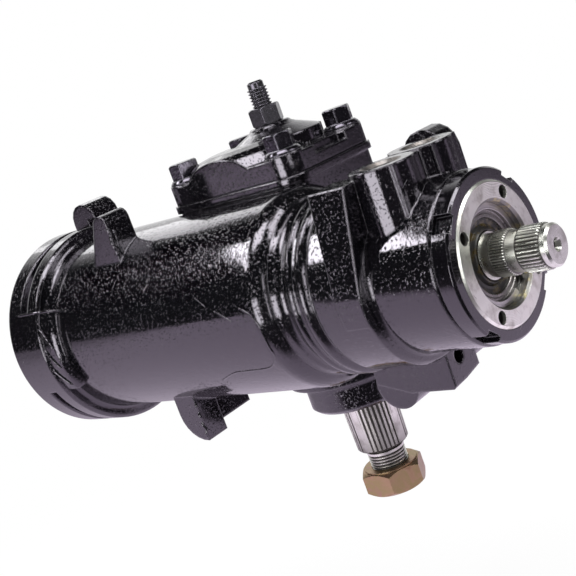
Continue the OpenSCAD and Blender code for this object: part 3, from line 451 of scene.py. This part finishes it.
def new_piece(shape, name, body, finish):
    """Closes a bmesh into a piece that rides on a body."""
    bmesh.ops.remove_doubles(shape, verts=shape.verts, dist=1e-6)
    bmesh.ops.recalc_face_normals(shape, faces=shape.faces)
    mesh = bpy.data.meshes.new(name)
    shape.to_mesh(mesh)
    shape.free()
    piece = bpy.data.objects.new(name, mesh)
    bpy.context.scene.collection.objects.link(piece)
    mesh.materials.append(finish)
    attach(piece, body)
    return piece


def smooth_faces(piece):
    for face in piece.data.polygons:
        face.use_smooth = True


def turned_shape(outline, centre, axis, side, steps=96, turn=360):
    """Spins a closed outline of (radius, place along the axis) pairs, in millimetres, about an axis."""
    shape = bmesh.new()
    points = []
    for radius, along in outline:
        offset = (Vector(side) * radius + Vector(axis) * along) * MM
        points.append(shape.verts.new(Vector(centre) + offset))
    loop = [shape.edges.new((points[i - 1], points[i])) for i in range(len(points))]
    bmesh.ops.spin(shape, geom=points + loop, cent=centre, axis=axis, angle=math.radians(turn), steps=steps,
                   use_merge=turn == 360)
    if turn < 360:
        bmesh.ops.holes_fill(shape, edges=shape.edges, sides=0)
    return shape


def thread_outline(wall, depth, pitch, ridges, start, foot, crest):
    """An outline of ridges that stand in from a hole's wall, in millimetres, for turned_shape.

    Where the thread starts and the first ridge's foot and crest are depths below the hole's mouth.
    """
    crest_width, foot_depth = 0.2, 0.05
    outline = [(wall, -start)]
    for i in range(ridges):
        down = i * pitch
        outline += [(wall - foot_depth, -foot - down), (wall - depth, -crest - down),
                    (wall - depth, -crest - crest_width - down)]
    outline.append((wall, -start - crest_width - ridges * pitch))
    return outline


def add_dust_seal():
    """The seal in the plug's mouth: a pressed case with a rolled rim, and a lip raised at the shaft."""
    lip_r, case_outer_r, back_x = 10.95, 23.3, 82.7
    case = [(lip_r, back_x), (case_outer_r, back_x), (case_outer_r, 84.85), (20.3, 84.85), (19.9, 84.5),
            (18.9, 84.5)]
    rolled_rim = [(18.5, 84.9), (17.3, 84.9), (17.0, 84.6), (SEAL_CASE_R / MM, 83.4)]
    lip = [(14.6, 83.1), (13.4, 83.5), (12.4, 84.9), (11.8, 85.3), (11.35, 85.1), (11.2, 84.0)]
    shape = turned_shape(case + rolled_rim + lip, (0, WORM_Y, WORM_Z), (1, 0, 0), (0, 0, 1))
    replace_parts(new_piece(shape, "dust_seal_lip", "housing", CASED_SEAL), "dust_seal")


def add_port_details():
    """A cut thread and a thin oiled countersink in each hose port."""
    rim = [(7.9, -1.6), (9.5, -0.02), (9.56, -0.02), (9.56, 0.02), (9.44, 0.02), (7.86, -1.55)]
    for name in ("pressure", "return"):
        port = mounts[name + "_port"]
        mouth = Vector(port["pos_m"]) + Vector(port["axis"]) * PORT_TOP_ABOVE_MOUNT
        thread = thread_outline(port["dims"]["r_mm"], depth=0.7, pitch=1.25, ridges=5,
                                start=1.6, foot=1.7, crest=2.2)
        for detail, outline in (("_thread", thread), ("_rim", rim)):
            shape = turned_shape(outline, mouth, port["axis"], (1, 0, 0), steps=64)
            new_piece(shape, name + detail, "housing", OILED)


def add_frame_threads():
    """Cut threads in the mouths of the frame bolt holes."""
    holes = [mount for name, mount in mounts.items() if name.startswith("frame_bolt")]
    for i, hole in enumerate(holes):
        thread = thread_outline(hole["dims"]["r_mm"], depth=0.5, pitch=1.5, ridges=6,
                                start=1.0, foot=1.2, crest=1.85)
        shape = turned_shape(thread, hole["pos_m"], hole["axis"], (1, 0, 0), steps=48)
        new_piece(shape, "frame_thread_%d" % (i + 1), "housing", OILED)


def smooth_path(points, spacing=1.2 * MM):
    """Points at even steps along a curve through the given points."""
    path = []
    last = len(points) - 1
    for i in range(last):
        before, start = points[max(i - 1, 0)], points[i]
        end, after = points[i + 1], points[min(i + 2, last)]
        count = max(1, round((end - start).length / spacing))
        for k in range(count):
            t = k / count
            bend = (2 * start + (end - before) * t + (2 * before - 5 * start + 4 * end - after) * t * t
                    + (3 * start - before - 3 * end + after) * t * t * t) / 2
            path.append(bend)
    return path + [points[last]]


def bead_shape(path, thickness):
    """A cast bead along a path: rings that swell and thin, bridged one to the next."""
    end_size, mean_size, swell, wave = 0.3, 0.85, 0.15, 2.4
    shape = bmesh.new()
    rings = []
    last = len(path) - 1
    for i, point in enumerate(path):
        at_end = i in (0, last)
        along = path[min(i + 1, last)] - path[max(i - 1, 0)]
        turn = along.to_track_quat("Z", "Y").to_matrix().to_4x4()
        size = end_size if at_end else mean_size + swell * math.cos(wave * i)
        made = bmesh.ops.create_circle(shape, cap_ends=at_end, segments=10, radius=thickness * size * MM,
                                       matrix=Matrix.Translation(point) @ turn)
        rings.append({edge for vert in made["verts"] for edge in vert.link_edges})
    for first, second in zip(rings, rings[1:]):
        bmesh.ops.bridge_loops(shape, edges=list(first | second))
    return shape


def on_barrel(x, angle, radius):
    """A point about the worm axis: millimetres along it and out from it, degrees up from the side at -Y."""
    lift = math.radians(angle)
    return Vector((x * MM, WORM_Y - radius * MM * math.cos(lift), WORM_Z + radius * MM * math.sin(lift)))


def barrel_line(sunk, *places):
    """A path of (millimetres along, degrees up) pairs over the barrel, sunk a little into its skin."""
    return [on_barrel(x, angle, BARREL_R - sunk) for x, angle in places]


def lug_line(order, inward, offset):
    """A path that sways up the lug's edge; the second one is a step shorter."""
    rise, sway, wave = 2.2, 0.35, 1.3
    path = []
    for k in range(9 - order):
        y = LUG_Y + offset + sway * math.sin(wave * k + order)
        path.append(Vector((LUG_X + inward, y, LUG_LOW_Z + rise * k)) * MM)
    return path


def keel_line():
    """A path that sways down the keel."""
    fall, steps = 2, 12
    sway_x, wave_x = 0.4, 1.7
    sway_y, wave_y = 0.5, 2.3
    path = []
    for k in range(steps):
        x = KEEL_X + sway_x * math.sin(wave_x * k)
        y = KEEL_Y + sway_y * math.cos(wave_y * k)
        path.append(Vector((x, y, KEEL_TOP_Z - fall * k)) * MM)
    return path


def block_r(x):
    """The flange block's radius, which falls a little from the flange's edge towards the barrel."""
    return BLOCK_BACK_R - (x - BLOCK_BACK_X) * BLOCK_SLOPE


def ridge_line(lift):
    """A path across the flange block that starts about lift degrees up and leans down to the front."""
    lean, raised = 1.5, 0.1
    return [on_barrel(x, lift - (x - BLOCK_BACK_X + 0.5) * lean, block_r(x) + raised)
            for x in (-180, -178, -175.5, -173.5, -171.5)]


def cast_marks():
    """Thickness in millimetres and path of each bead that the mould left on the body."""
    marks = {
        "parting_ridge": (0.75, barrel_line(
            0.3, (-25, 10.4), (-19.7, 6.5), (-15.5, 0.7), (-14.9, -6.1), (-15.1, -13.4), (-15.9, -21.4),
            (-22, -27.3), (-28.5, -29), (-40, -29.2), (-50.5, -29.8), (-64.3, -35.6))),
        "long_streak": (0.5, barrel_line(0.1, (-42.2, 11), (-36.9, 7.5), (-31.5, 3.2))),
        "short_streak": (0.35, barrel_line(0.1, (-54.3, 20.1), (-50.9, 17), (-47.2, 13.8))),
        "cast_nub": (1.2, barrel_line(0.2, (-14.5, 62.4), (-13.2, 62.4), (-12, 62.4), (-10.8, 62.4))),
        "shelf_bead": (1.0, [on_barrel(x, 26.6, radius) for x, radius in (
            (-199, 57.9), (-194, 58.1), (-188, 57.9), (-182, 58.0), (-178, 56.8), (-171, 56.5),
            (-168, 54.6), (-166, 51.4))]),
        "lug_flash_1": (1.5, lug_line(0, -0.7, 0.7)),
        "lug_flash_2": (1.0, lug_line(1, 0, 3.3)),
        "keel_flash": (1.0, keel_line()),
    }
    for i, lift in enumerate((18, 6, -6)):
        marks["block_ridge_%d" % (i + 1)] = (0.95, ridge_line(lift))
    return marks


def add_cast_marks():
    for name, (thickness, path) in cast_marks().items():
        shape = bead_shape(smooth_path(path), thickness)
        smooth_faces(new_piece(shape, name, "housing", RING_PAINT))


def add_flange_block():
    """The rounded block at the rear flange's foot, which runs down round the barrel from its top angle."""
    top_angle, crease = math.radians(26.8), math.radians(30)
    sunk_r = BARREL_R - 1
    foot = [(sunk_r, BLOCK_BACK_X), (block_r(BLOCK_BACK_X), BLOCK_BACK_X),
            (block_r(BLOCK_FRONT_X), BLOCK_FRONT_X), (54, -167.2), (sunk_r, -166.6)]
    top = (0, -math.cos(top_angle), math.sin(top_angle))
    block = turned_shape(foot, (0, WORM_Y, WORM_Z), (1, 0, 0), top, steps=24, turn=50)
    sharp = [edge for edge in block.edges if edge.is_manifold and edge.calc_face_angle() > crease]
    bmesh.ops.bevel(block, geom=sharp, offset=1.1 * MM, offset_type="OFFSET", affect="EDGES", segments=3,
                    profile=0.5, material=-1, clamp_overlap=True)
    smooth_faces(new_piece(block, "flange_block", "housing", PAINT))


add_dust_seal()
add_port_details()
add_frame_threads()
add_cast_marks()
add_flange_block()


def add_camera():
    lens = bpy.data.cameras.new("camera")
    lens.sensor_width = CAMERA_SENSOR
    lens.sensor_fit = "HORIZONTAL"
    lens.lens = CAMERA_LENS
    lens.clip_start = 0.01
    lens.clip_end = 50.0
    camera = bpy.data.objects.new("camera", lens)
    turn = Matrix((CAMERA_RIGHT, CAMERA_UP, CAMERA_BACK)).transposed().to_4x4()
    camera.matrix_world = Matrix.Translation(CAMERA_EYE) @ turn
    bpy.context.scene.collection.objects.link(camera)
    bpy.context.scene.camera = camera


def add_softbox(name, azimuth, elevation, roll, distance, width, height, power):
    """A rectangular lamp that looks at the gear from a direction given in degrees."""
    lamp = bpy.data.lights.new(name, "AREA")
    lamp.shape = "RECTANGLE"
    lamp.size = width
    lamp.size_y = height
    lamp.energy = power
    box = bpy.data.objects.new(name, lamp)
    az = math.radians(azimuth)
    el = math.radians(elevation)
    way = Vector((math.cos(el) * math.cos(az), math.cos(el) * math.sin(az), math.sin(el)))
    turn = way.to_track_quat("Z", "Y").to_matrix().to_4x4() @ Matrix.Rotation(math.radians(roll), 4, "Z")
    box.matrix_world = Matrix.Translation(MIDDLE + way * distance) @ turn
    bpy.context.scene.collection.objects.link(box)


def floor_white(name):
    """White with a faint shadow to the camera, and dimmed by side where the paint mirrors it."""
    f = new_finish(name)
    camera, glossy, through = f.rays()
    x, y, _ = f.axes()
    along = x - MIDDLE.x
    aside = y - MIDDLE.y
    ahead = along * FLOOR_FRONT.x + aside * FLOOR_FRONT.y
    front = f.ramp(ahead, 0.2, 0.36)
    behind = f.ramp(0 - ahead, 0.1, 0.5)
    right = f.ramp(along * FLOOR_RIGHT.x + aside * FLOOR_RIGHT.y, 0.4, 1.2)
    far = f.ramp(f.off_axis(x, y, MIDDLE), 0.25, 0.7)
    mirrored = 1 - (front * 0.96 + right * 0.36 + behind * 0.5).at_most(0.97)
    seen = (camera + glossy + through).at_most(1.0)
    share = camera * (0.93 + 0.07 * far) + (1 - camera) * seen * mirrored
    tone = f.blend(camera, colour(1.1, 0.96, 1.17), WHITE)
    white = f.node("Emission", sockets={"Color": tone, "Strength": 1.0})
    dark = f.node("Emission", sockets={"Color": colour(0.01, 0.01, 0.01), "Strength": 1.0})
    plain = f.node("BsdfDiffuse", sockets={"Color": colour(0.9, 0.9, 0.9)})
    rest = f.node("MixShader", sockets={0: glossy, 1: plain, 2: dark})
    shader = f.node("MixShader", sockets={0: share, 1: rest, 2: white})
    f.node("OutputMaterial", sockets={"Surface": shader})
    return f.owner


def add_floor():
    shape = bmesh.new()
    bmesh.ops.create_circle(shape, cap_ends=True, segments=64, radius=FLOOR_R)
    bmesh.ops.translate(shape, verts=shape.verts, vec=(0, 0, cad_low.z - FLOOR_GAP))
    mesh = bpy.data.meshes.new("floor")
    shape.to_mesh(mesh)
    shape.free()
    floor = bpy.data.objects.new("floor", mesh)
    bpy.context.scene.collection.objects.link(floor)
    mesh.materials.append(floor_white("white_floor"))


def light_world():
    """White to the camera and through clear faces, and behind the gear in mirror-like ones; else dim."""
    world = bpy.data.worlds.new("studio")
    bpy.context.scene.world = world
    f = Finish(world)
    camera, glossy, through = f.rays()
    behind = f.dot(f.node("TexCoord", out="Generated"), tuple(-CAMERA_BACK))
    backdrop = f.ramp(behind, 0.48, 0.74) * glossy
    seen = (camera + through + backdrop).at_most(1.0)
    dim = f.blend(glossy, colour(0.36, 0.36, 0.37), colour(0.014, 0.0135, 0.0145))
    tone = f.blend(seen, dim, WHITE)
    background = f.node("Background", sockets={"Color": tone, "Strength": 1.0})
    f.node("OutputWorld", sockets={"Surface": background})


add_camera()
add_floor()
light_world()
for lamp_name, lamp_values in LAMPS.items():
    add_softbox(lamp_name, *lamp_values)

bpy.context.scene.view_settings.view_transform = "Standard"
